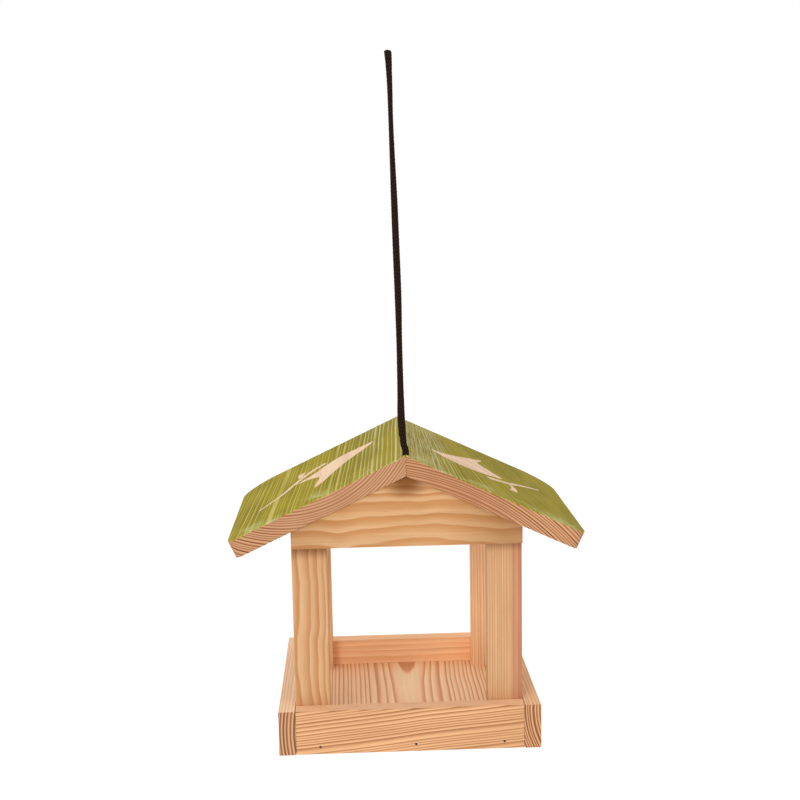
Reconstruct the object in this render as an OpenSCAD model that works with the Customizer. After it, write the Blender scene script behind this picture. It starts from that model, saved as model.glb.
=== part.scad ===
// Hanging open-sided bird feeder: a wooden tray, four corner posts, two gables, a pitched roof of two
// mitred boards, and a braided cord loop that it hangs by.
// +X is to the right, -Y is the front, +Z is up. The origin is on the hook, inside the top of the loop.

/* [Boards] */
// Thickness of every board but the roof's
board_t = 12.5; // [10:0.5:14]
// Size of the eased edge along a planed board
ease = 0.6; // [0.2:0.1:1]
// Width of the gap left at each joint in the tray and at the ridge
joint_gap = 0.2; // [0:0.05:0.5]

/* [Tray] */
// Width of the tray over its side rails
tray_w = 195; // [180:1:215]
// Depth of the tray from front to rear
tray_d = 168; // [160:1:176]
// Height of the four rails
rail_h = 33.5; // [28:0.5:45]

/* [House] */
// Width of each corner post
post_w = 26; // [18:1:32]
// Height of the gables' lower edge over the tray's underside
gable_foot = 157; // [140:1:160]
// How far each gable stops short of the posts' outer faces
gable_inset = 1; // [0:0.5:3]
// Height of the ridge over the tray's underside
ridge_h = 224.5; // [223:0.5:235]

/* [Roof] */
// Pitch of the roof in degrees
roof_pitch = 25; // [20:1:27]
// Thickness of the roof boards
roof_t = 13.8; // [10:0.1:15]
// Width of each roof board, from ridge to eave along its top face
roof_board_w = 143.5; // [130:0.5:150]
// How far the roof stands out past the front gable
front_overhang = 2; // [1:0.5:8]
// How far the roof stands out past the rear gable
rear_overhang = 6; // [1:0.5:8]
// Radius of the roof boards' front corners at the eaves
front_corner_r = 6; // [2:1:15]
// Radius of the roof boards' rear corners at the eaves
rear_corner_r = 30; // [2:1:40]

/* [Cord] */
// Diameter of the braided cord
cord_d = 4.4; // [3.6:0.1:5]
// Diameter of the knot under the ridge
knot_d = 11; // [9:0.5:13]

/* [Nails] */
// Diameter of the nails' shanks
nail_d = 1.2; // [1:0.1:1.6]
// Diameter of the nails' heads
nail_head_d = 1.8; // [1.7:0.1:3]
// Length of the nails
nail_l = 25; // [20:1:32]

/* [Hidden] */
$fn = 48;

// The house hangs below the hook by the height of the loop.
loop_h = 289;
house_drop = loop_h + ridge_h;

// Tray and posts
inner_w = tray_w - 2 * board_t;
inner_d = tray_d - 2 * board_t;
rail_y = (tray_d - board_t) / 2;
rail_x = (tray_w - board_t) / 2;
post_x = (inner_w - post_w) / 2;
post_y = rail_y - board_t;

// Roof
roof_front = -tray_d / 2 - front_overhang;
roof_rear = tray_d / 2 + rear_overhang;
roof_d = roof_rear - roof_front;
ridge_under = ridge_h - roof_t / cos(roof_pitch);
eave_x = roof_board_w * cos(roof_pitch);
eave_h = ridge_h - roof_board_w * sin(roof_pitch);
function under_roof(x) = ridge_under - abs(x) * tan(roof_pitch);

// Gables and posts end under the roof
gable_l = inner_w - 2 * gable_inset;
post_top = under_roof(inner_w / 2) - 0.1;
post_l = post_top - board_t;

// The cord's two holes are on the ridge joint: one over the front gable, one at the middle.
cord_hole_y = [-80.5, 0];
blind_hole_l = 14;
tail_l = 11;

// The loop's round ends turn on a line just above the ridge, clear of the cord's ends in the house.
pivot_rise = 2.8;
cord_gap = 0.3;
stub_top = ridge_h + pivot_rise - cord_d / 2 - cord_gap;

// The loop's centreline from its front hole over the hook to its rear hole: x, y, z from the hook.
cord_route = [
    [0, -80.5, -286.2], [-1.1, -79.9, -282.8], [-1.7, -78.4, -277], [-2, -74.6, -266],
    [-2.1, -70, -252], [-2.2, -64.6, -232], [-2.2, -58.5, -206.5], [-1.8, -51, -176.5],
    [-2.2, -42, -141.5], [-2.7, -33.5, -106.5], [-3.5, -26, -76.5], [-4, -19, -49.5],
    [-3.9, -13.5, -26], [-4, -9.8, -13], [-4.3, -9, -6.8], [-4.7, -7.8, -2.3], [-5, -4.5, 1],
    [-5.2, 0, 2.2], [-5.2, 4.5, 1], [-5.1, 7.8, -2.3], [-4.9, 9, -6.8], [-4.3, 8.9, -20],
    [-3.7, 8, -46.5], [-3.2, 7, -76.5], [-2.7, 5.7, -111.5], [-1.9, 4.5, -148.5],
    [-1, 3.3, -185.5], [-0.4, 2.2, -221.5], [-0.4, 1, -256.5], [-0.7, 0.5, -270],
    [-0.5, 0.2, -279], [0, 0, -286.2]
];
cord_sides = 8;
rings_per_step = 2;

// Each end of the loop is rounded by rings that step out and shrink, as shares of the cord's radius.
cap_rings = [[0.5, 0.866], [0.866, 0.5], [1, 0.12]];

// Nails
head_t = 0.8;
head_proud = 0.15;
nail_set = 0.4;
front_nails_x = [-67, 4, 70];
rear_nails_x = [-66, -2, 68];
side_nails_y = [-46, 2, 47];
corner_nails_h = [20, 28];
post_nails_h = [17, 27];
gable_nails_h = [4, 9.5];
gable_nail_l = 20;
pin_l = 10;

// Colours
pine = [0.87, 0.68, 0.48];
stain = [0.56, 0.57, 0.22];
steel = [0.55, 0.54, 0.52];
black_cord = [0.10, 0.07, 0.06];

// Moves what is measured up from the tray's underside to its place below the hook.
module in_house() {
    translate([0, 0, -house_drop]) children();
}

// A planed board centred on the origin, with its grain along Z and eased long edges.
module board(length, width, thickness) {
    w = width / 2;
    t = thickness / 2;
    linear_extrude(height = length, center = true)
        polygon([
            [-w + ease, -t], [w - ease, -t], [w, -t + ease], [w, t - ease],
            [w - ease, t], [-w + ease, t], [-w, t - ease], [-w, -t + ease]
        ]);
}

// A rail along X, resting on the tray's underside plane.
module cross_rail(side) {
    color(pine) in_house()
        translate([0, side * rail_y, rail_h / 2])
        rotate([0, 90, 0]) board(inner_w - 2 * joint_gap, rail_h, board_t);
}

// A rail along Y, which covers the ends of the front and rear rails.
module side_rail(side) {
    color(pine) in_house()
        translate([side * rail_x, 0, rail_h / 2])
        rotate([90, 0, 0]) board(tray_d, board_t, rail_h);
}

module floor_board() {
    color(pine) in_house()
        translate([0, 0, board_t / 2])
        rotate([90, 0, 0]) board(inner_d - 2 * joint_gap, inner_w - 2 * joint_gap, board_t);
}

module front_rail() {
    cross_rail(-1);
}

module rear_rail() {
    cross_rail(1);
}

module left_rail() {
    side_rail(-1);
}

module right_rail() {
    side_rail(1);
}

// A post in a corner of the tray, standing on the floor board.
module post(side_x, side_y) {
    color(pine) in_house()
        translate([side_x * post_x, side_y * post_y, board_t + post_l / 2])
        board(post_l, post_w, board_t);
}

module front_left_post() {
    post(-1, -1);
}

module front_right_post() {
    post(1, -1);
}

module rear_left_post() {
    post(-1, 1);
}

module rear_right_post() {
    post(1, 1);
}

// A five-sided gable board: a straight lower edge, short upright ends, and two slopes to the ridge.
module gable(side) {
    end_x = gable_l / 2;
    translate([0, side * rail_y + board_t / 2, 0])
        rotate([90, 0, 0])
        linear_extrude(height = board_t)
        polygon([
            [-end_x, gable_foot], [end_x, gable_foot], [end_x, under_roof(end_x)],
            [0, ridge_under], [-end_x, under_roof(end_x)]
        ]);
}

// The front gable also holds the cord's front end, in a blind hole in its apex.
module front_gable() {
    color(pine) in_house() difference() {
        gable(-1);
        translate([0, cord_hole_y[0], ridge_under - blind_hole_l])
            cylinder(d = cord_d, h = 2 * blind_hole_l);
    }
}

module rear_gable() {
    color(pine) in_house() gable(1);
}

// The outline of a roof board seen square to its face, with its eave corners rounded.
module roof_outline() {
    front_reach = roof_board_w - front_corner_r;
    rear_reach = roof_board_w - rear_corner_r;
    front_y = roof_front + front_corner_r;
    rear_y = roof_rear - rear_corner_r;
    translate([-20, roof_front]) square([rear_reach + 20, roof_d]);
    translate([-20, roof_front]) square([front_reach + 20, roof_d / 2]);
    translate([-20, front_y]) square([roof_board_w + 20, rear_y - front_y]);
    translate([front_reach, front_y]) circle(r = front_corner_r);
    translate([rear_reach, rear_y]) circle(r = rear_corner_r);
}

// A roof board that falls to the right. Its ridge end is cut upright, to meet the other board.
module roof_slab() {
    drop = roof_t * cos(roof_pitch);
    inset = roof_t * sin(roof_pitch);
    cut = joint_gap / 2;
    fall = cut * tan(roof_pitch);
    intersection() {
        translate([0, roof_rear, 0])
            rotate([90, 0, 0])
            linear_extrude(height = roof_d)
            polygon([
                [cut, ridge_h - fall], [eave_x, eave_h],
                [eave_x - inset, eave_h - drop], [cut, ridge_under - fall]
            ]);
        translate([0, 0, ridge_h])
            rotate([0, roof_pitch, 0])
            translate([0, 0, -2 * roof_t])
            linear_extrude(height = 4 * roof_t) roof_outline();
    }
}

module roof_board(side) {
    color(stain) in_house() difference() {
        if (side > 0) roof_slab();
        else mirror([1, 0, 0]) roof_slab();
        for (y = cord_hole_y)
            translate([0, y, ridge_h - 30]) cylinder(d = cord_d, h = 60);
    }
}

module left_roof_board() {
    roof_board(-1);
}

module right_roof_board() {
    roof_board(1);
}

// A nail whose head lies on the plane z = 0 and whose shank runs down.
module nail(length) {
    translate([0, 0, -head_t]) cylinder(d = nail_head_d, h = head_t + head_proud);
    translate([0, 0, -length]) cylinder(d = nail_d, h = length - nail_set);
}

// Nails driven in along Y from the outer face of the front or the rear rail.
module floor_nails_along(side, places) {
    color(steel) in_house()
        for (x = places)
            translate([x, side * tray_d / 2, board_t / 2 - 0.5])
            rotate([-90 * side, 0, 0]) nail(nail_l);
}

// A nail driven in along X from the outer face of a side rail.
module side_nail(side, y, h) {
    translate([side * tray_w / 2, y, h])
        rotate([0, 90 * side, 0]) nail(nail_l);
}

module front_floor_nails() {
    floor_nails_along(-1, front_nails_x);
}

module rear_floor_nails() {
    floor_nails_along(1, rear_nails_x);
}

module side_floor_nails(side) {
    color(steel) in_house()
        for (y = side_nails_y) side_nail(side, y, board_t / 2);
}

module left_floor_nails() {
    side_floor_nails(-1);
}

module right_floor_nails() {
    side_floor_nails(1);
}

module corner_nails(side) {
    color(steel) in_house()
        for (y = [-rail_y, rail_y], h = corner_nails_h) side_nail(side, y, h);
}

module left_corner_nails() {
    corner_nails(-1);
}

module right_corner_nails() {
    corner_nails(1);
}

module post_nails(side) {
    color(steel) in_house()
        for (y = [-post_y, post_y], h = post_nails_h) side_nail(side, y, h);
}

module left_post_nails() {
    post_nails(-1);
}

module right_post_nails() {
    post_nails(1);
}

// Nails driven from inside the house through the posts into a gable.
module gable_nails(side) {
    color(steel) in_house()
        for (x = [-post_x, post_x], h = gable_nails_h)
            translate([x, side * (post_y - board_t / 2), gable_foot + h])
            rotate([90 * side, 0, 0]) nail(gable_nail_l);
}

module front_gable_nails() {
    gable_nails(-1);
}

module rear_gable_nails() {
    gable_nails(1);
}

// A smooth curve through four points of the route: the point at t from b to c.
function curve_at(a, b, c, d, t) =
    0.5 * (2 * b + (c - a) * t + (2 * a - 5 * b + 4 * c - d) * t ^ 2 + (3 * b - a - 3 * c + d) * t ^ 3);

last_point = len(cord_route) - 1;
function route_point(i) =
    i < 0 ? 2 * cord_route[0] - cord_route[1]
    : i > last_point ? 2 * cord_route[last_point] - cord_route[last_point - 1]
    : cord_route[i];

cord_line = [
    for (i = [0 : last_point - 1], k = [0 : rings_per_step - 1])
        curve_at(
            route_point(i - 1), route_point(i), route_point(i + 1), route_point(i + 2), k / rings_per_step
        ),
    cord_route[last_point]
];
ring_count = len(cord_line);

function along(i) = cord_line[min(i + 1, ring_count - 1)] - cord_line[max(i - 1, 0)];
function unit(v) = v / norm(v);

// One ring of the tube, moved along the cord by a share of its radius and scaled.
// The loop stays close to the plane x = 0, so X sets where each ring starts.
function ring(i, shift, scale) =
    let (
        forward = unit(along(i)),
        across = unit([1, 0, 0] - forward[0] * forward),
        up = cross(forward, across),
        centre = cord_line[i] + shift * cord_d / 2 * forward,
        r = scale * cord_d / 2
    )
    [for (k = [0 : cord_sides - 1])
        centre + r * (cos(360 * k / cord_sides) * across + sin(360 * k / cord_sides) * up)];

module cord_loop() {
    last_cap = len(cap_rings) - 1;
    points = [
        for (c = [last_cap : -1 : 0]) each ring(0, -cap_rings[c][0], cap_rings[c][1]),
        for (i = [0 : ring_count - 1]) each ring(i, 0, 1),
        for (c = [0 : last_cap]) each ring(ring_count - 1, cap_rings[c][0], cap_rings[c][1])
    ];
    last_ring = ring_count + 2 * len(cap_rings) - 1;
    walls = [
        for (i = [0 : last_ring - 1], k = [0 : cord_sides - 1])
            let (next = (k + 1) % cord_sides, low = i * cord_sides, high = low + cord_sides)
            [low + k, high + k, high + next, low + next]
    ];
    start = [for (k = [0 : cord_sides - 1]) k];
    end = [for (k = [cord_sides - 1 : -1 : 0]) last_ring * cord_sides + k];
    color(black_cord) polyhedron(points = points, faces = concat([start], walls, [end]), convexity = 8);
}

// The cord's front end goes through the ridge joint into the front gable.
module front_cord_end() {
    hole_end = ridge_under - blind_hole_l;
    color(black_cord) in_house()
        translate([0, cord_hole_y[0], hole_end])
        cylinder(d = cord_d, h = stub_top - hole_end);
}

// The cord's rear end goes through the ridge joint and is knotted under it, with a short tail.
module rear_cord_end() {
    knot_h = ridge_under - knot_d / 2 / cos(roof_pitch);
    color(black_cord) in_house()
        translate([0, cord_hole_y[1], 0]) {
            translate([0, 0, knot_h])
                cylinder(d = cord_d, h = stub_top - knot_h);
            translate([0, 0, knot_h]) sphere(d = knot_d);
            translate([0, 0, knot_h - knot_d / 2 - tail_l]) cylinder(d = cord_d, h = tail_l + 1);
        }
}

// A small nail from inside the front gable pins the cord's end in its blind hole.
module cord_pin() {
    color(steel) in_house()
        translate([0, -rail_y + board_t / 2, ridge_under - blind_hole_l / 2])
        rotate([-90, 0, 0]) nail(pin_l);
}

floor_board();
front_rail();
rear_rail();
left_rail();
right_rail();
front_left_post();
front_right_post();
rear_left_post();
rear_right_post();
front_gable();
rear_gable();
left_roof_board();
right_roof_board();
front_floor_nails();
rear_floor_nails();
left_floor_nails();
right_floor_nails();
left_corner_nails();
right_corner_nails();
left_post_nails();
right_post_nails();
front_gable_nails();
rear_gable_nails();
cord_loop();
front_cord_end();
rear_cord_end();
cord_pin();
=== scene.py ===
"""A hanging wooden bird feeder: procedural pine and stain on the CAD boards, with a braided cord, its knot
and the unstained pictures on the roof modelled here. Everything is in metres, in the CAD part's frame."""

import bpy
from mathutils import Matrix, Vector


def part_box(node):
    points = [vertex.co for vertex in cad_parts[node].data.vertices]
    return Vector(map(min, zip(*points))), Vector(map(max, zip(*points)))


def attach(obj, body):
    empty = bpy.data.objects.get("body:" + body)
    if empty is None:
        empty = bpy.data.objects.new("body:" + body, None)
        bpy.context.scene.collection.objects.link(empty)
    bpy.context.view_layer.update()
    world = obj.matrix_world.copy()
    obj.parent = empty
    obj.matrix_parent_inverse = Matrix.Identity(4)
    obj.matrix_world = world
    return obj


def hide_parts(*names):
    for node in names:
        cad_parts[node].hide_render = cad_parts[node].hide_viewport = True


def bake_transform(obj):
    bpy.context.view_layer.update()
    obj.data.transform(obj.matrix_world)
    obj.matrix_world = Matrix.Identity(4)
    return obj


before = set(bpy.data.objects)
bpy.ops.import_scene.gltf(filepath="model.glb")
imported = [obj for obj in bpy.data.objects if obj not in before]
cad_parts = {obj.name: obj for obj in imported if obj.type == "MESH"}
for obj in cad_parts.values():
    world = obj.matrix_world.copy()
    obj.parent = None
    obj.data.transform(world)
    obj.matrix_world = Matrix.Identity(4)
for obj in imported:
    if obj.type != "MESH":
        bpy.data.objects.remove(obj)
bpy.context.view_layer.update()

import math

import bmesh
import bpy
import numpy as np
from mathutils import Matrix, Vector

scene = bpy.context.scene
MM = 0.001


# ---------------------------------------------------------------- measures from the CAD part

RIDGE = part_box("right_roof_board")[1].z
PITCH = math.radians(25)
ROOF_BOARD = 13.8 * MM
RIDGE_UNDER = RIDGE - ROOF_BOARD / math.cos(PITCH)
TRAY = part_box("left_rail")[0].z
GABLE_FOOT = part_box("front_gable")[0].z / MM


# ---------------------------------------------------------------- camera

CAMERA_PLACE = (-0.0355, -0.9807, -0.1156)
YAW, DIP, ROLL = (math.radians(a) for a in (2.046, 8.463, 1.027))
SENSOR_WIDTH = 36
FOCAL_LENGTH = 57.25


def make_camera():
    ahead = Vector((math.sin(YAW) * math.cos(DIP), math.cos(YAW) * math.cos(DIP), -math.sin(DIP)))
    level = Vector((math.cos(YAW), -math.sin(YAW), 0))
    upright = level.cross(ahead)
    right = level * math.cos(ROLL) - upright * math.sin(ROLL)
    up = level * math.sin(ROLL) + upright * math.cos(ROLL)
    data = bpy.data.cameras.new("camera")
    data.sensor_width = SENSOR_WIDTH
    data.lens = FOCAL_LENGTH
    data.clip_start, data.clip_end = 0.02, 50
    camera = bpy.data.objects.new("camera", data)
    scene.collection.objects.link(camera)
    turn = Matrix((right, up, -ahead)).transposed()
    camera.matrix_world = Matrix.Translation(CAMERA_PLACE) @ turn.to_4x4()
    scene.camera = camera


make_camera()


# ---------------------------------------------------------------- braided cord

# The loop's centreline from the front hole over the hook to the rear hole, in millimetres.
CORD_ROUTE = [
    (0, -80.5, -286.2), (-1.1, -79.9, -282.8), (-1.7, -78.4, -277), (-2, -74.6, -266),
    (-2.1, -70, -252), (-2.2, -64.6, -232), (-2.2, -58.5, -206.5), (-1.8, -51, -176.5),
    (-2.2, -42, -141.5), (-2.7, -33.5, -106.5), (-3.5, -26, -76.5), (-4, -19, -49.5),
    (-3.9, -13.5, -26), (-4, -9.8, -13), (-4.3, -9, -6.8), (-4.7, -7.8, -2.3), (-5, -4.5, 1),
    (-5.2, 0, 2.2), (-5.2, 4.5, 1), (-5.1, 7.8, -2.3), (-4.9, 9, -6.8), (-4.3, 8.9, -20),
    (-3.7, 8, -46.5), (-3.2, 7, -76.5), (-2.7, 5.7, -111.5), (-1.9, 4.5, -148.5), (-1, 3.3, -185.5),
    (-0.4, 2.2, -221.5), (-0.4, 1, -256.5), (-0.7, 0.5, -270), (-0.5, 0.2, -279), (0, 0, -286.2),
]
CORD_SIDES = 56
CORD_STEP = 0.5 * MM
STRANDS = 8
BRAID_LEAD = 22 * MM
CORD_RELIEF = 0.5 * MM
KNOT_RELIEF = 0.3 * MM
KNOT_SIDES = 40
# How far a cord's cut end stands out past its last ring.
CAP = 0.4 * MM
# Shares of the cord's length at which its width and thickness, in millimetres, and its twist are set.
SET_AT = [0, 0.05, 0.1, 0.3, 0.43, 0.475, 0.5, 0.525, 0.57, 0.75, 1]
WIDTHS = [5.2, 4.9, 4.4, 4.2, 3.8, 4.6, 5.7, 4.6, 3.8, 4.2, 4.4]
THICKNESSES = [4.2, 4.1, 3.8, 3.6, 3.2, 3.2, 3.3, 3.2, 3.2, 3.6, 3.9]
TWISTS = [0, 0, 0.3, 0.9, 1.57, 1.2, 0, 1.2, 1.57, 0.8, 0]
FRONT_HOLE = -0.0805
FRONT_HOLE_DEPTH = 13 * MM
# How far down its hole each end of the cord runs straight.
STRAIGHT = 5 * MM
KNOT_SIZE = 1.32 * MM
# The part of the knot's curve left out at each of its ends, where the cord comes in and goes out.
KNOT_OPEN = 0.22


def catmull_rom(a, b, c, d, t):
    return 0.5 * (2 * b + (c - a) * t + (2 * a - 5 * b + 4 * c - d) * t**2 + (3 * b - a - 3 * c + d) * t**3)


def lengths_along(line):
    """How far along a line each of its points lies."""
    return np.concatenate([[0], np.cumsum(np.linalg.norm(np.diff(line, axis=0), axis=1))])


def smooth_line(points, step):
    """Points a step apart along a Catmull-Rom curve through the given points."""
    p = np.array(points, float)
    p = np.vstack([2 * p[0] - p[1], p, 2 * p[-1] - p[-2]])
    t = np.linspace(0, 1, 40, endpoint=False)[:, None]
    spans = [catmull_rom(a, b, c, d, t) for a, b, c, d in zip(p, p[1:], p[2:], p[3:])]
    dense = np.vstack([*spans, p[-2]])
    run = lengths_along(dense)
    at = np.linspace(0, run[-1], max(2, round(run[-1] / step)))
    return np.column_stack([np.interp(at, run, dense[:, k]) for k in range(3)])


def line_frames(line):
    """The direction of each point of a line, and two directions across it that don't twist along it."""
    ahead = np.gradient(line, axis=0)
    ahead /= np.linalg.norm(ahead, axis=1)[:, None]
    side = np.zeros_like(ahead)
    now = np.array([1.0, 0.0, 0.0])
    for i, d in enumerate(ahead):
        now = now - d * (now @ d)
        now /= np.linalg.norm(now)
        side[i] = now
    return ahead, side, np.cross(ahead, side)


def braid_relief(angle, along):
    """Height from 0 to 1 of a two-over-two braid, at an angle round the cord and a length along it."""
    turn = angle / (2 * math.pi)
    p = STRANDS * (turn + along / BRAID_LEAD)
    q = STRANDS * (turn - along / BRAID_LEAD)
    i, j = np.floor(p), np.floor(q)
    crown_p = np.sqrt(np.clip(1 - (2 * (p - i) - 1) ** 2, 0, 1))
    crown_q = np.sqrt(np.clip(1 - (2 * (q - j) - 1) ** 2, 0, 1))
    over_p = np.sin(math.pi / 2 * (i - q + 0.5) + math.pi / 4)
    over_q = -np.sin(math.pi / 2 * (p - 0.5 - j) + math.pi / 4)
    return np.maximum(crown_p * (0.6 + 0.4 * over_p), crown_q * (0.6 + 0.4 * over_q))


def braided_tube(name, line, width, thickness, twist, relief, sides=CORD_SIDES):
    """A closed tube of oval section along a line. width, thickness and twist are given for each point."""
    ahead, side, up = line_frames(line)
    count = len(line)
    run = lengths_along(line)
    angle = np.linspace(0, 2 * math.pi, sides, endpoint=False)[None, :]
    height = braid_relief(angle + 0 * run[:, None], run[:, None] + 0 * angle)
    e1 = np.cos(twist)[:, None] * side + np.sin(twist)[:, None] * up
    e2 = -np.sin(twist)[:, None] * side + np.cos(twist)[:, None] * up
    grow = relief * (height - 1)
    a = (width / 2)[:, None] + grow
    b = (thickness / 2)[:, None] + grow
    points = (
        line[:, None, :]
        + (a * np.cos(angle))[:, :, None] * e1[:, None, :]
        + (b * np.sin(angle))[:, :, None] * e2[:, None, :]
    ).reshape(-1, 3)
    faces = []
    for i in range(count - 1):
        for k in range(sides):
            n = (k + 1) % sides
            faces.append((i * sides + k, i * sides + n, (i + 1) * sides + n, (i + 1) * sides + k))
    first, last = len(points), len(points) + 1
    points = np.vstack([points, line[0] - ahead[0] * CAP, line[-1] + ahead[-1] * CAP])
    for k in range(sides):
        n = (k + 1) % sides
        faces.append((first, n, k))
        faces.append((last, (count - 1) * sides + k, (count - 1) * sides + n))
    mesh = bpy.data.meshes.new(name)
    mesh.from_pydata(points.tolist(), [], faces)
    # The braid's height at each point; the cord's material paints shade into the grooves by it.
    depth = mesh.attributes.new("relief", "FLOAT", "POINT")
    depth.data.foreach_set("value", np.append(height.ravel(), [0.5, 0.5]).astype(np.float32))
    mesh.polygons.foreach_set("use_smooth", [True] * len(mesh.polygons))
    made = bpy.data.objects.new(name, mesh)
    scene.collection.objects.link(made)
    return made


def make_cord():
    route = np.array(CORD_ROUTE) * MM
    into_front = [(0, FRONT_HOLE, RIDGE - FRONT_HOLE_DEPTH), (0, FRONT_HOLE, RIDGE - STRAIGHT)]
    into_rear = [(0, 0, RIDGE - STRAIGHT), (0, 0, RIDGE_UNDER)]
    line = smooth_line(np.vstack([into_front, route, into_rear]), CORD_STEP)
    run = lengths_along(line)
    share = run / run[-1]
    width = np.interp(share, SET_AT, WIDTHS) * MM
    thick = np.interp(share, SET_AT, THICKNESSES) * MM
    twist = np.interp(share, SET_AT, TWISTS)
    cord = braided_tube("cord", line, width, thick, twist, CORD_RELIEF)
    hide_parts("cord_loop", "front_cord_end")
    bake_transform(cord)
    return cord, line, float(run[-1])


def make_knot():
    """An overhand knot pulled tight under the ridge, and the cord's tail."""
    centre = Vector((-1.6 * MM, 0, RIDGE_UNDER - 5.6 * MM))
    points = [(0, 0, RIDGE - 4 * MM), (0, 0, RIDGE_UNDER - 0.5 * MM)]
    for s in np.linspace(KNOT_OPEN, 2 * math.pi - KNOT_OPEN, 22):
        reach = 2 + math.cos(3 * s)
        points.append(
            (
                centre.x + KNOT_SIZE * reach * math.cos(2 * s),
                centre.y + KNOT_SIZE * reach * math.sin(2 * s),
                centre.z - KNOT_SIZE * 1.05 * math.sin(3 * s),
            )
        )
    points += [
        (1.9 * MM, 0.6 * MM, centre.z - 5.5 * MM),
        (1.2 * MM, 1.2 * MM, centre.z - 10 * MM),
        (1.5 * MM, 1.6 * MM, centre.z - 15.5 * MM),
    ]
    line = smooth_line(points, CORD_STEP)
    count = len(line)
    width, thick = np.full(count, 3.5 * MM), np.full(count, 3.2 * MM)
    knot = braided_tube("cord_knot", line, width, thick, np.zeros(count), KNOT_RELIEF, KNOT_SIDES)
    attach(knot, "house")
    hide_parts("rear_cord_end")
    return knot


cord, cord_line, cord_length = make_cord()
knot = make_knot()


# ---------------------------------------------------------------- node helpers


def rgb(red, green, blue):
    """A linear colour from screen values of 0 to 255."""
    def linear(v):
        v /= 255
        return v / 12.92 if v <= 0.04045 else ((v + 0.055) / 1.055) ** 2.4

    return (linear(red), linear(green), linear(blue), 1)


class Graph:
    """Short names for the nodes of one material. A value is a number, a colour, a vector or a socket."""

    def __init__(self, name):
        self.material = bpy.data.materials.new(name)
        self.material.use_nodes = True
        self.tree = self.material.node_tree
        self.tree.nodes.clear()

    def put(self, socket, value):
        if isinstance(value, bpy.types.NodeSocket):
            self.tree.links.new(value, socket)
        else:
            socket.default_value = value

    def node(self, kind, out=0, values=(), **settings):
        made = self.tree.nodes.new("ShaderNode" + kind)
        for key, value in settings.items():
            setattr(made, key, value)
        for key, value in dict(values).items():
            self.put(made.inputs[key], value)
        return made.outputs[out]

    def math(self, operation, a, b=0.0, c=0.0):
        return self.node("Math", operation=operation, values={0: a, 1: b, 2: c})

    def vector(self, operation, a, b=(0, 0, 0)):
        return self.node("VectorMath", operation=operation, values={0: a, 1: b})

    def step(self, value, low, high, a=0.0, b=1.0):
        values = {0: value, 1: low, 2: high, 3: a, 4: b}
        return self.node("MapRange", interpolation_type="SMOOTHSTEP", clamp=True, values=values)

    def mix(self, share, a, b, blend="MIX"):
        return self.node("Mix", 2, {0: share, 6: a, 7: b}, data_type="RGBA", blend_type=blend)

    def tint(self, share, colour, by):
        """A colour multiplied by another, as far as share says."""
        return self.mix(share, colour, self.mix(1.0, colour, by, "MULTIPLY"))

    def length(self, vector):
        return self.node("VectorMath", 1, {0: vector}, operation="LENGTH")

    def noise(self, vector, scale, detail=2.0, rough=0.5):
        values = {"Vector": vector, "Scale": scale, "Detail": detail, "Roughness": rough}
        return self.node("TexNoise", "Fac", values)

    def noise_along(self, value):
        """Noise that varies along one value only."""
        values = {"W": value, "Scale": 1.0, "Detail": 1.0}
        return self.node("TexNoise", "Fac", values, noise_dimensions="1D")

    def own_value(self, count):
        """A number from 0 to 1 that each whole number has for itself."""
        whole = self.math("FLOOR", count)
        return self.node("TexWhiteNoise", 0, {"W": whole}, noise_dimensions="1D")

    def squeeze(self, parts, across, along, shift=0.0):
        """A place for noise: x and y times across, and z times along and moved by shift."""
        x, y, z = parts
        flat = self.math("MULTIPLY", x, across), self.math("MULTIPLY", y, across)
        return self.join(*flat, self.math("MULTIPLY_ADD", z, along, shift))

    def split(self, vector):
        made = self.tree.nodes.new("ShaderNodeSeparateXYZ")
        self.tree.links.new(vector, made.inputs[0])
        return made.outputs

    def join(self, x, y, z):
        return self.node("CombineXYZ", values={0: x, 1: y, 2: z})

    def bump(self, height, strength, distance, normal=None):
        values = {"Height": height, "Strength": strength, "Distance": distance}
        if normal is not None:
            values["Normal"] = normal
        return self.node("Bump", values=values)

    def finish(self, values):
        shader = self.tree.nodes.new("ShaderNodeBsdfPrincipled")
        for key, value in values.items():
            self.put(shader.inputs[key], value)
        output = self.tree.nodes.new("ShaderNodeOutputMaterial")
        self.tree.links.new(shader.outputs[0], output.inputs[0])
        return self.material


# ---------------------------------------------------------------- pine

GREEN = rgb(152, 138, 24)


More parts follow.
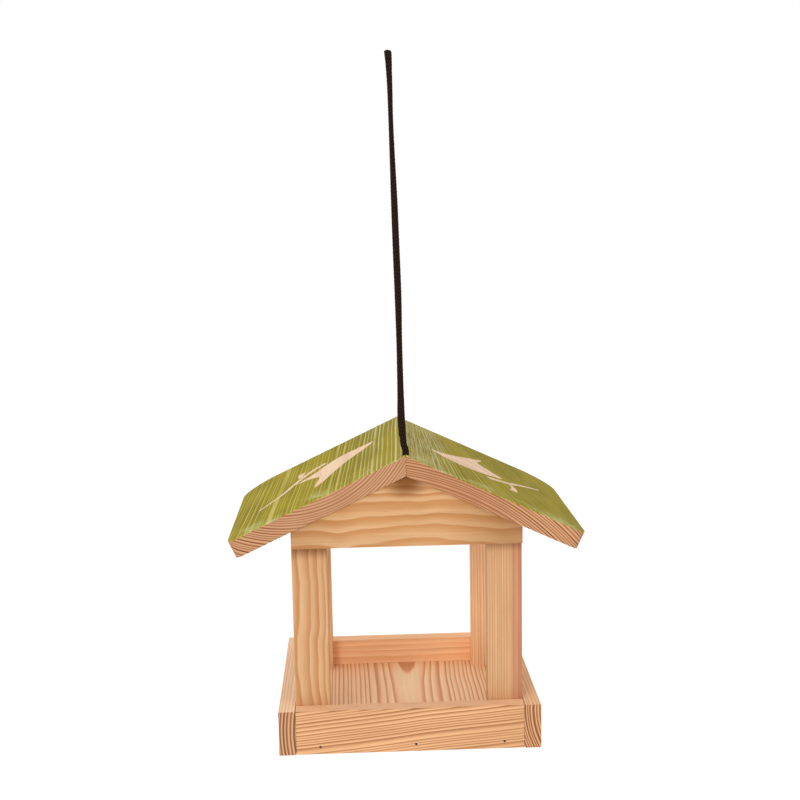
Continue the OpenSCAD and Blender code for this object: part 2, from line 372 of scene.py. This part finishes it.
def pine(
    name,
    grain,
    pith,
    spacing,
    light,
    mid,
    dark,
    contrast=0.8,
    end_contrast=None,
    bold=None,
    wave=1.0,
    reach=60.0,
    line=0.45,
    full=0.9,
    heart=None,
    fades=(),
    painted_shade_spot=None,
    ends=None,
    top=None,
    seed=0.0,
    stain=None,
    shine=0.25,
):
    """Planed pine, cut from a log whose pith runs through a point, in millimetres, along the grain. Each
    ring runs from the light colour over mid to a dark line. line and full are the shares of the ring
    where that line starts and where it is darkest. spacing is the rings' mean width, and wave is how far
    they wander, in millimetres, over reach along the grain. contrast is the lines' strength, and
    end_contrast the same on end grain. bold is how weak the lines start, the |x| where they begin and
    end to gain, and how much paler the wood gets there. heart is the redder wood's radius and colour.
    fades are tints that come in along an axis from one place to another; on the gable they are the wood's own
    tone, and on the posts they are painted shade under the gable. spot is a place darkened by painted shade,
    with its radius. ends tints the end grain. top paints light from above: it is the share of the lines left
    on a face that looks up, a paler colour, and how much of that colour there is."""
    g = Graph(name)
    axis = Vector(grain).normalized()
    across = axis.orthogonal().normalized()
    turn = Matrix((across, axis.cross(across), axis)).transposed().to_euler("XYZ")
    coords = g.tree.nodes.new("ShaderNodeTexCoord")
    place = g.node(
        "Mapping",
        vector_type="TEXTURE",
        values={"Vector": coords.outputs["Object"], 1: [v * MM for v in pith], 2: turn, 3: (MM, MM, MM)},
    )
    x, y, z = g.split(place)

    # The log's rings, which wander slowly along the grain and hardly across it.
    slow = g.join(
        g.math("MULTIPLY_ADD", x, 0.009, seed), g.math("MULTIPLY", y, 0.009), g.math("MULTIPLY", z, 1 / reach)
    )
    shift = g.node("TexNoise", "Color", {"Vector": slow, "Scale": 1.0, "Detail": 2.0, "Roughness": 0.4})
    shift = g.vector("SUBTRACT", shift, (0.5, 0.5, 0.5))
    shift = g.node("VectorMath", operation="SCALE", values={0: shift, "Scale": 5.0 * wave})
    sx, sy, _ = g.split(shift)
    ring = g.length(g.join(g.math("ADD", x, sx), g.math("ADD", y, sy), 0.0))
    uneven = g.noise_along(g.math("MULTIPLY_ADD", ring, 0.12, seed))
    count = g.math("MULTIPLY_ADD", uneven, 1.6, g.math("DIVIDE", ring, spacing))
    part = g.math("FRACT", count)
    own = g.own_value(count)
    late = g.math("MULTIPLY", g.step(part, line, full), g.step(part, 0.93, 1.0, 1.0, 0.0))
    late = g.math("MULTIPLY", late, g.math("MULTIPLY_ADD", own, 0.45, 0.55))

    # Fibres run along the grain; short dark flecks are the resin canals.
    log = x, y, z
    fibre = g.noise(g.squeeze(log, 2.4, 0.07, seed), 1.0, 3.0, 0.62)
    coarse = g.noise(g.squeeze(log, 0.5, 0.016), 1.0, 2.0)
    fleck = g.noise(g.squeeze(log, 1.5, 0.16, 7.0), 1.0, 1.0)
    fleck = g.step(fleck, 0.66, 0.76)
    cloud = g.noise(g.squeeze(log, 0.03, 0.012, seed), 1.0, 2.0)

    # End grain shows where the board's face looks along the grain.
    facing = g.node("VectorMath", 1, {0: coords.outputs["Normal"], 1: axis}, operation="DOT_PRODUCT")
    end = g.step(g.math("ABSOLUTE", facing), 0.55, 0.85)
    pores = g.noise(g.join(x, y, g.math("MULTIPLY", z, 0.2)), 3.4, 2.0, 0.7)

    tan = g.mix(g.step(part, 0.02, 0.62), light, mid)
    tan = g.mix(g.step(cloud, 0.42, 0.72, 0.0, 0.5), tan, mid)
    across_x = g.math("ABSOLUTE", g.split(coords.outputs["Object"])[0])
    strength = g.math("MULTIPLY_ADD", end, (end_contrast or contrast) - contrast, contrast)
    if bold:
        weak, start, stop, pale = bold
        strength = g.math("MULTIPLY", strength, g.step(across_x, start * MM, stop * MM, weak, 1.0))
        tan = g.mix(g.step(across_x, start * MM, stop * MM, 0.0, pale), tan, rgb(246, 190, 144))
    # Painted light from above: faces that look up keep fewer lines here and are made paler further down.
    facing_up = g.step(g.split(coords.outputs["Normal"])[2], 0.7, 0.9)
    if top:
        strength = g.math("MULTIPLY", strength, g.math("MULTIPLY_ADD", facing_up, top[0] - 1, 1.0))
    wood = g.mix(g.math("MULTIPLY", late, strength), tan, dark)
    if heart:
        radius, colour = heart
        inside = g.step(ring, radius - 1.5, radius + 1.5, 1.0, 0.0)
        red = g.math("MULTIPLY", inside, g.math("MULTIPLY_ADD", own, 0.7, 0.3))
        wood = g.mix(red, wood, colour)
    # Painted light from above: faces that look up are mixed towards a paler colour.
    if top:
        wood = g.mix(g.math("MULTIPLY", facing_up, top[2]), wood, top[1])
    tone = g.math("MULTIPLY_ADD", fibre, 0.24, 0.88)
    tone = g.math("MULTIPLY", tone, g.math("MULTIPLY_ADD", coarse, 0.30, 0.85))
    tone = g.math("MULTIPLY", tone, g.math("MULTIPLY_ADD", fleck, -0.10, 1.0))
    end_tone = g.math("MULTIPLY_ADD", pores, 0.26, 0.87)
    tone = g.mix(end, g.join(tone, tone, tone), g.join(end_tone, end_tone, end_tone))
    wood = g.mix(1.0, wood, tone, "MULTIPLY")
    if ends:
        wood = g.tint(end, wood, ends)
    for along, start, stop, colour in fades:
        place = g.split(coords.outputs["Object"])[along]
        low, high = sorted((start * MM, stop * MM))
        share = g.step(place, low, high) if start < stop else g.step(place, low, high, 1.0, 0.0)
        wood = g.tint(share, wood, colour)
    # Painted shade: a round place darkened as if the roof's shadow fell there.
    if painted_shade_spot:
        point, radius, colour = painted_shade_spot
        away = g.vector("SUBTRACT", coords.outputs["Object"], [v * MM for v in point])
        away = g.math("MULTIPLY", g.length(away), g.math("MULTIPLY_ADD", cloud, 0.8, 0.6))
        wood = g.tint(g.step(away, 0.2 * radius * MM, radius * MM, 1.0, 0.0), wood, colour)

    rough = g.math("MULTIPLY_ADD", fibre, 0.14, g.math("MULTIPLY_ADD", late, -0.08, 0.56))
    rough = g.math("MULTIPLY_ADD", end, 0.14, rough)
    height = g.math("ADD", g.math("MULTIPLY", late, 0.35), g.math("MULTIPLY", fibre, 0.5))
    height = g.mix(end, g.join(height, height, height), g.join(pores, pores, pores))

    if stain:
        wood, rough = stained(g, coords, wood, fibre, coarse, cloud, rough, seed, **stain)
    normal = g.bump(g.node("SeparateColor", 0, {0: height}), 0.35, 0.12 * MM)
    return g.finish(
        {
            "Base Color": wood,
            "Roughness": rough,
            "Normal": normal,
            "Specular IOR Level": shine,
        }
    )


def stained(
    g, coords, wood, fibre, coarse, cloud, rough, seed,
    start, fan, spacing, wander_by, uneven_by, fine_share, lean, tone,
):
    """A thin green stain on the faces that look up. It leaves the dense late wood paler, in lines along the
    ridge, which fan out towards the front by fan, from a line start millimetres down the slope. They are
    spacing apart, wander by wander_by, are uneven by uneven_by, and lean off the ridge by lean. fine_share is
    how much of the finest lines, which lie by the ridge, shows, and tone tints it all."""
    nz = g.split(coords.outputs["Normal"])[2]
    px, py, pz = g.split(coords.outputs["Object"])
    depth = g.math("MULTIPLY_ADD", g.math("ABSOLUTE", px), -math.tan(PITCH), RIDGE)
    depth = g.math("MULTIPLY", g.math("SUBTRACT", depth, pz), 1 / MM)
    ragged = g.noise(coords.outputs["Object"], 700.0, 2.0)
    over_edge = g.step(g.math("MULTIPLY_ADD", ragged, -1.6, depth), -0.4, 0.1, 1.0, 0.0)
    cover = g.math("MAXIMUM", g.step(nz, 0.35, 0.6), over_edge)

    u = g.math("MULTIPLY", g.math("ABSOLUTE", px), 1 / MM / math.cos(PITCH))
    w = g.math("MULTIPLY", py, 1 / MM)
    place = g.math("DIVIDE", g.math("SUBTRACT", u, start), g.math("MULTIPLY_ADD", w, -fan, 1.0))

    def spread(down, along):
        """A place for noise on the board, squeezed down the slope and along the ridge."""
        return g.join(g.math("MULTIPLY", u, down), g.math("MULTIPLY", w, along), seed)

    wander = g.noise(spread(0.02, 0.008), 1.0, 1.0, 0.4)
    place = g.math("MULTIPLY_ADD", w, lean, g.math("MULTIPLY_ADD", wander, wander_by, place))
    uneven = g.noise_along(g.math("MULTIPLY", place, 0.13))
    count = g.math("MULTIPLY_ADD", uneven, uneven_by, g.math("DIVIDE", place, spacing))
    part = g.math("FRACT", count)
    own = g.own_value(count)
    line = g.math("MULTIPLY", g.step(part, 0.46, 0.68), g.step(part, 0.74, 0.94, 1.0, 0.0))
    line = g.math("MULTIPLY", line, g.math("MULTIPLY_ADD", own, 0.55, 0.45))
    broken = g.noise(spread(0.09, 0.02), 1.0, 2.0)
    line = g.math("MULTIPLY", line, g.step(broken, 0.3, 0.62, 0.5, 1.0))

    shade = g.mix(g.step(cloud, 0.35, 0.65), GREEN, rgb(128, 118, 16))
    shade = g.mix(g.step(coarse, 0.45, 0.72, 0.0, 0.5), shade, rgb(162, 144, 46))
    shade = g.mix(g.math("MULTIPLY", fibre, 0.35), shade, rgb(158, 142, 42))
    shade = g.mix(g.step(part, 0.0, 0.4, 0.2, 0.0), shade, rgb(118, 108, 18))
    pale = g.mix(g.step(u, 15.0, 60.0), rgb(212, 204, 162), rgb(204, 188, 106))
    shade = g.mix(g.math("MULTIPLY", line, 0.85), shade, pale)
    slanted = g.math("MULTIPLY", g.math("MULTIPLY_ADD", w, -0.045, u), 1.1)
    fine = g.noise(g.join(slanted, g.math("MULTIPLY", w, 0.02), seed), 1.0, 2.0, 0.6)
    fine = g.math("MULTIPLY", g.step(fine, 0.44, 0.58), g.step(u, 22.0, 46.0, fine_share, 0.0))
    shade = g.mix(fine, shade, rgb(206, 200, 160))
    worn = g.noise(spread(0.035, 0.03), 1.0, 4.0, 0.7)
    worn = g.math("MULTIPLY", g.step(worn, 0.48, 0.64), g.step(w, -80.0, -55.0, 0.55, 0.0))
    shade = g.mix(worn, shade, rgb(196, 196, 136))
    shade = g.mix(1.0, shade, tone, "MULTIPLY")
    wood = g.mix(g.math("MULTIPLY", cover, 0.97), wood, shade)
    return wood, g.math("MULTIPLY_ADD", cover, 0.12, rough)


# Each board's place in its log, and its colours.
BOARDS = {
    "floor_board": dict(
        grain=(0.0, 1, 0.008), pith=(4, 0, -552), spacing=2.4, wave=0.7, reach=130, seed=1, contrast=1.0,
        light=rgb(255, 224, 182), mid=rgb(254, 208, 162), dark=rgb(204, 134, 90),
    ),
    "front_rail": dict(
        grain=(1, 0.02, 0.10), pith=(0, -60, -600), spacing=2.4, wave=0.9, reach=100, seed=2,
        contrast=0.95, line=0.35,
        light=rgb(222, 172, 126), mid=rgb(206, 152, 106), dark=rgb(142, 90, 48),
        # top: painted light from above, making the faces that look up paler.
        top=(0.15, rgb(238, 190, 148), 0.8),
    ),
    "rear_rail": dict(
        grain=(1, 0, 0.01), pith=(0, 160, -530), spacing=2.6, wave=0.6, reach=90, seed=3, contrast=0.35,
        light=rgb(254, 208, 160), mid=rgb(251, 197, 148), dark=rgb(208, 136, 86),
    ),
    "left_rail": dict(
        grain=(0.01, 1, 0), pith=(10, 0, -497), spacing=2.15, wave=0.3, reach=90, seed=4, line=0.3,
        contrast=0.4, end_contrast=1.0,
        light=rgb(242, 202, 166), mid=rgb(228, 184, 146), dark=rgb(108, 62, 34),
        # top: painted light from above, making the faces that look up paler.
        ends=rgb(216, 195, 176), full=0.6, top=(0.9, rgb(255, 220, 180), 0.5),
    ),
    "right_rail": dict(
        grain=(-0.01, 1, 0), pith=(152, 0, -484), spacing=2.1, wave=0.3, reach=90, seed=5, line=0.3,
        contrast=0.4, end_contrast=1.0,
        light=rgb(238, 194, 150), mid=rgb(220, 172, 126), dark=rgb(112, 66, 36),
        # top: painted light from above, making the faces that look up paler.
        ends=rgb(232, 216, 202), full=0.6, top=(1.0, rgb(250, 200, 148), 0.3),
    ),
    "front_left_post": dict(
        grain=(0.02, 0, 1), pith=(-130, 60, 0), spacing=3.0, wave=1.5, reach=55, seed=6,
        contrast=0.75, line=0.3,
        light=rgb(202, 160, 118), mid=rgb(194, 148, 103), dark=rgb(174, 110, 54),
        # Painted shade: the top of the post darkened where the gable above shades it.
        fades=[(2, GABLE_FOOT - 13, GABLE_FOOT - 3, rgb(200, 182, 160))],
    ),
    "front_right_post": dict(
        grain=(0, 0, 1), pith=(160, -72, 0), spacing=1.8, wave=0.4, reach=200, seed=7, contrast=0.6,
        light=rgb(204, 160, 118), mid=rgb(198, 152, 108), dark=rgb(166, 108, 64),
        heart=(83, rgb(178, 114, 83)),
        # Painted shade: the top of the post darkened where the gable above shades it.
        fades=[(2, GABLE_FOOT - 10, GABLE_FOOT - 1, rgb(220, 208, 196))],
    ),
    "rear_left_post": dict(
        grain=(0, 0.01, 1), pith=(-20, 120, 0), spacing=2.4, wave=0.8, reach=120, seed=8, contrast=0.7,
        light=rgb(232, 188, 142), mid=rgb(224, 176, 126), dark=rgb(180, 122, 74),
    ),
    "rear_right_post": dict(
        grain=(0, 0.01, 1), pith=(160, 60, 0), spacing=2.6, wave=0.5, reach=150, seed=9, contrast=0.7,
        light=rgb(244, 200, 154), mid=rgb(238, 190, 142), dark=rgb(204, 146, 96),
    ),
    "front_gable": dict(
        grain=(1, 0, 0.012), pith=(0, 66, -400), spacing=3.4, wave=1.4, reach=60, seed=10,
        contrast=0.8, line=0.25,
        light=rgb(204, 160, 116), mid=rgb(196, 148, 100), dark=rgb(172, 110, 54),
        fades=[(0, 20, 84, rgb(214, 206, 190)), (0, -30, -84, rgb(230, 222, 210))],
        # Painted shade under the roof's apex, where the roof overhangs the gable.
        painted_shade_spot=((0, -84, -305), 22, rgb(156, 124, 58)),
    ),
    "rear_gable": dict(
        grain=(1, 0.01, 0.01), pith=(0, 30, -380), spacing=2.8, wave=1.4, reach=60, seed=11,
        contrast=0.8, line=0.25,
        light=rgb(208, 164, 120), mid=rgb(200, 152, 104), dark=rgb(172, 110, 54),
    ),
    "left_roof_board": dict(
        grain=(0.01, 1, 0.0), pith=(-87, 0, -245), spacing=2.0, wave=0.25, reach=80, seed=12,
        line=0.4, shine=0.04, contrast=1.0, full=0.75, bold=(0.45, 70, 105, 0.08),
        stain=dict(
            start=0, fan=0.0, spacing=3.6, wander_by=3.0, uneven_by=1.6,
            fine_share=0.0, lean=0.045, tone=rgb(255, 255, 255),
        ),
        light=rgb(196, 152, 116), mid=rgb(175, 126, 90), dark=rgb(112, 64, 36),
    ),
    "right_roof_board": dict(
        grain=(-0.02, 1, -0.07), pith=(-40, 0, -504), spacing=1.9, wave=0.25, reach=80, seed=13,
        line=0.4, shine=0.04, contrast=1.0, full=0.75, bold=(0.5, 60, 105, 0.24),
        stain=dict(
            start=20, fan=0.0035, spacing=3.0, wander_by=4.0, uneven_by=2.0,
            fine_share=0.42, lean=0.0, tone=rgb(242, 241, 236),
        ),
        light=rgb(196, 146, 108), mid=rgb(168, 116, 80), dark=rgb(102, 56, 30),
    ),
}


def give(obj, material):
    obj.data.materials.clear()
    obj.data.materials.append(material)


def ease_edges(obj):
    """Rounds a board's edges a little, for the light to catch."""
    flat = obj.modifiers.new("merge_faces", "DECIMATE")
    flat.decimate_type = "DISSOLVE"
    flat.angle_limit = math.radians(1)
    bevel = obj.modifiers.new("ease", "BEVEL")
    bevel.width = 0.35 * MM
    bevel.segments = 2
    bevel.limit_method = "ANGLE"
    bevel.angle_limit = math.radians(35)
    bevel.harden_normals = True


for name, look in BOARDS.items():
    give(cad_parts[name], pine("pine_" + name, **look))
    ease_edges(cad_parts[name])


# ---------------------------------------------------------------- unstained pictures on the roof

# Outlines in millimetres on a roof board: down the slope from the ridge, and along it to the rear.
BIRD_LEFT = [
    (24, 30), (38, 32), (50, 33), (60, 29), (69, 21), (76, 13), (83, 8), (92, 5), (84, 1), (76, -4),
    (71, -13), (73, -27), (74, -42), (67, -34), (61, -22), (53, -8), (46, 2), (36, 12), (29, 20),
]
BIRD_RIGHT = [
    (25, -8), (36, -2), (46, 8), (55, 20), (63, 30), (74, 44), (70, 31), (68, 22), (73, 15), (79, 6),
    (87, -3), (80, -10), (70, -17), (60, -21), (49, -22), (38, -20), (31, -15),
]
TWIGS_LEFT = [
    [(122, -29), (112, -19), (103, -9), (95, 5), (88, 17), (79, 28), (67, 35)],
    [(87, 18), (89, 27), (88, 38)],
]
TWIGS_RIGHT = [
    [(122, 19), (110, 8), (100, -2), (91, -13), (82, -19), (72, -26)],
    [(91, -13), (94, -25), (92, -39)],
]
TWIG_WIDTH = 6.4
# How far a picture stands out of its board and reaches into it, in millimetres.
PICTURE_PROUD = 0.05
PICTURE_DEPTH = 0.15


def on_roof(side, along_slope, along_ridge, lift):
    """The point on a roof board's top face, raised from it by lift. All but side are in millimetres."""
    out = Vector((side * math.sin(PITCH), 0, math.cos(PITCH)))
    down = Vector((side * math.cos(PITCH), 0, -math.sin(PITCH)))
    return Vector((0, 0, RIDGE)) + (down * along_slope + Vector((0, 1, 0)) * along_ridge + out * lift) * MM


def closed_curve(points):
    """A smooth closed outline through the given points."""
    count = len(points)
    made = []
    for i in range(count):
        a, b, c, d = (np.array(points[(i + k - 1) % count], float) for k in range(4))
        made += [catmull_rom(a, b, c, d, t) for t in (0, 0.25, 0.5, 0.75)]
    return made


def twig_outline(points, width):
    """The outline of a twig along the given points, which widens towards the last."""
    line = smooth_line([(*p, 0) for p in points], 2.0)[:, :2]
    ahead = np.gradient(line, axis=0)
    ahead /= np.linalg.norm(ahead, axis=1)[:, None]
    across = np.column_stack([-ahead[:, 1], ahead[:, 0]])
    half = width / 2 * np.linspace(0.35, 1.0, len(line))[:, None]
    return [*(line + across * half), *(line - across * half)[::-1]]


def roof_picture(name, side, outlines):
    """Thin flat shapes let into the stain: bare wood that the stain left out."""
    bm = bmesh.new()
    for outline in outlines:
        top = [bm.verts.new(on_roof(side, u, w, PICTURE_PROUD)) for u, w in outline]
        low = [bm.verts.new(on_roof(side, u, w, -PICTURE_DEPTH)) for u, w in outline]
        bm.faces.new(top)
        bm.faces.new(low[::-1])
        count = len(top)
        for k in range(count):
            n = (k + 1) % count
            bm.faces.new((top[n], top[k], low[k], low[n]))
    bmesh.ops.recalc_face_normals(bm, faces=bm.faces)
    bmesh.ops.triangulate(bm, faces=bm.faces)
    mesh = bpy.data.meshes.new(name)
    bm.to_mesh(mesh)
    bm.free()
    made = bpy.data.objects.new(name, mesh)
    scene.collection.objects.link(made)
    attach(made, "house")
    return made


def bare_look(board, light, mid):
    """A roof board's own wood, unstained, in the given colours."""
    return dict(
        BOARDS[board],
        stain=None,
        bold=None,
        light=light,
        mid=mid,
        dark=rgb(206, 168, 132),
        contrast=0.3,
    )


def picture_outlines(bird, twigs):
    return [closed_curve(bird)] + [twig_outline(twig, TWIG_WIDTH) for twig in twigs]


left_picture = roof_picture("left_bird", -1, picture_outlines(BIRD_LEFT, TWIGS_LEFT))
right_picture = roof_picture("right_bird", 1, picture_outlines(BIRD_RIGHT, TWIGS_RIGHT))
left_look = bare_look("left_roof_board", rgb(234, 206, 176), rgb(228, 196, 164))
right_look = bare_look("right_roof_board", rgb(226, 197, 167), rgb(219, 186, 155))
give(left_picture, pine("pine_left_bird", **left_look))
give(right_picture, pine("pine_right_bird", **right_look))


# ---------------------------------------------------------------- nails and cord materials


def nail_steel():
    g = Graph("nail_steel")
    coords = g.tree.nodes.new("ShaderNodeTexCoord").outputs["Object"]
    spots = g.noise(coords, 1800.0, 3.0, 0.6)
    # The heads' dark brown is partly the steel's own colour and partly painted shade of the punched pits they
    # sit in.
    colour = g.mix(g.step(spots, 0.4, 0.65), rgb(66, 40, 26), rgb(34, 18, 12))
    rough = g.math("MULTIPLY_ADD", spots, 0.3, 0.35)
    normal = g.bump(spots, 0.3, 0.05 * MM)
    return g.finish({"Base Color": colour, "Metallic": 0.3, "Roughness": rough, "Normal": normal})


def cord_fibre():
    g = Graph("cord_fibre")
    coords = g.tree.nodes.new("ShaderNodeTexCoord").outputs["Object"]
    relief = g.node("Attribute", "Fac", attribute_name="relief")
    fine = g.noise(coords, 5200.0, 2.0, 0.6)
    patch = g.noise(coords, 160.0, 2.0)
    # Painted shade: the braid's grooves darkened nearly to black by the braid's height.
    colour = g.mix(g.step(relief, 0.5, 0.98), rgb(4, 2, 2), rgb(60, 38, 30))
    colour = g.mix(g.math("MULTIPLY", patch, 0.4), colour, rgb(26, 13, 10))
    colour = g.mix(g.math("MULTIPLY", fine, 0.3), colour, rgb(50, 32, 24))
    rough = g.math("MULTIPLY_ADD", fine, 0.2, 0.65)
    normal = g.bump(fine, 0.5, 0.06 * MM)
    return g.finish(
        {
            "Base Color": colour,
            "Roughness": rough,
            "Normal": normal,
            "Specular IOR Level": 0.03,
        }
    )


steel = nail_steel()
for name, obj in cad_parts.items():
    if name.endswith("_nails") or name == "cord_pin":
        give(obj, steel)
fibre = cord_fibre()
give(cord, fibre)
give(knot, fibre)


# ---------------------------------------------------------------- floor and light


FLOOR_REACH = 8
# How far the floor lies under the tray, which hangs clear of it.
FLOOR_DROP = 0.4


def make_floor():
    bm = bmesh.new()
    bmesh.ops.create_grid(bm, x_segments=1, y_segments=1, size=FLOOR_REACH)
    mesh = bpy.data.meshes.new("floor")
    bm.to_mesh(mesh)
    bm.free()
    floor = bpy.data.objects.new("floor", mesh)
    floor.location = (0, 0, TRAY - FLOOR_DROP)
    scene.collection.objects.link(floor)
    g = Graph("pale_floor")
    pale = g.finish(
        {
            "Base Color": rgb(243, 243, 243),
            "Roughness": 0.9,
            "Specular IOR Level": 0.1,
            "Emission Color": (1, 1, 1, 1),
            "Emission Strength": 0.15,
        }
    )
    give(floor, pale)


def soft_light(name, place, aim, size, power):
    data = bpy.data.lights.new(name, "AREA")
    data.shape = "DISK"
    data.size = size
    data.energy = power
    light = bpy.data.objects.new(name, data)
    light.location = place
    light.rotation_mode = "QUATERNION"
    light.rotation_quaternion = (Vector(aim) - Vector(place)).to_track_quat("-Z", "Y")
    scene.collection.objects.link(light)


make_floor()
soft_light("key", place=(-0.7, -1.6, 0.3), aim=(0, 0, TRAY + 0.12), size=0.9, power=10)
world = bpy.data.worlds.new("studio")
world.use_nodes = True
world.node_tree.nodes["Background"].inputs[0].default_value = (1, 1, 1, 1)
world.node_tree.nodes["Background"].inputs[1].default_value = 1.0
scene.world = world
scene.view_settings.view_transform = "Standard"
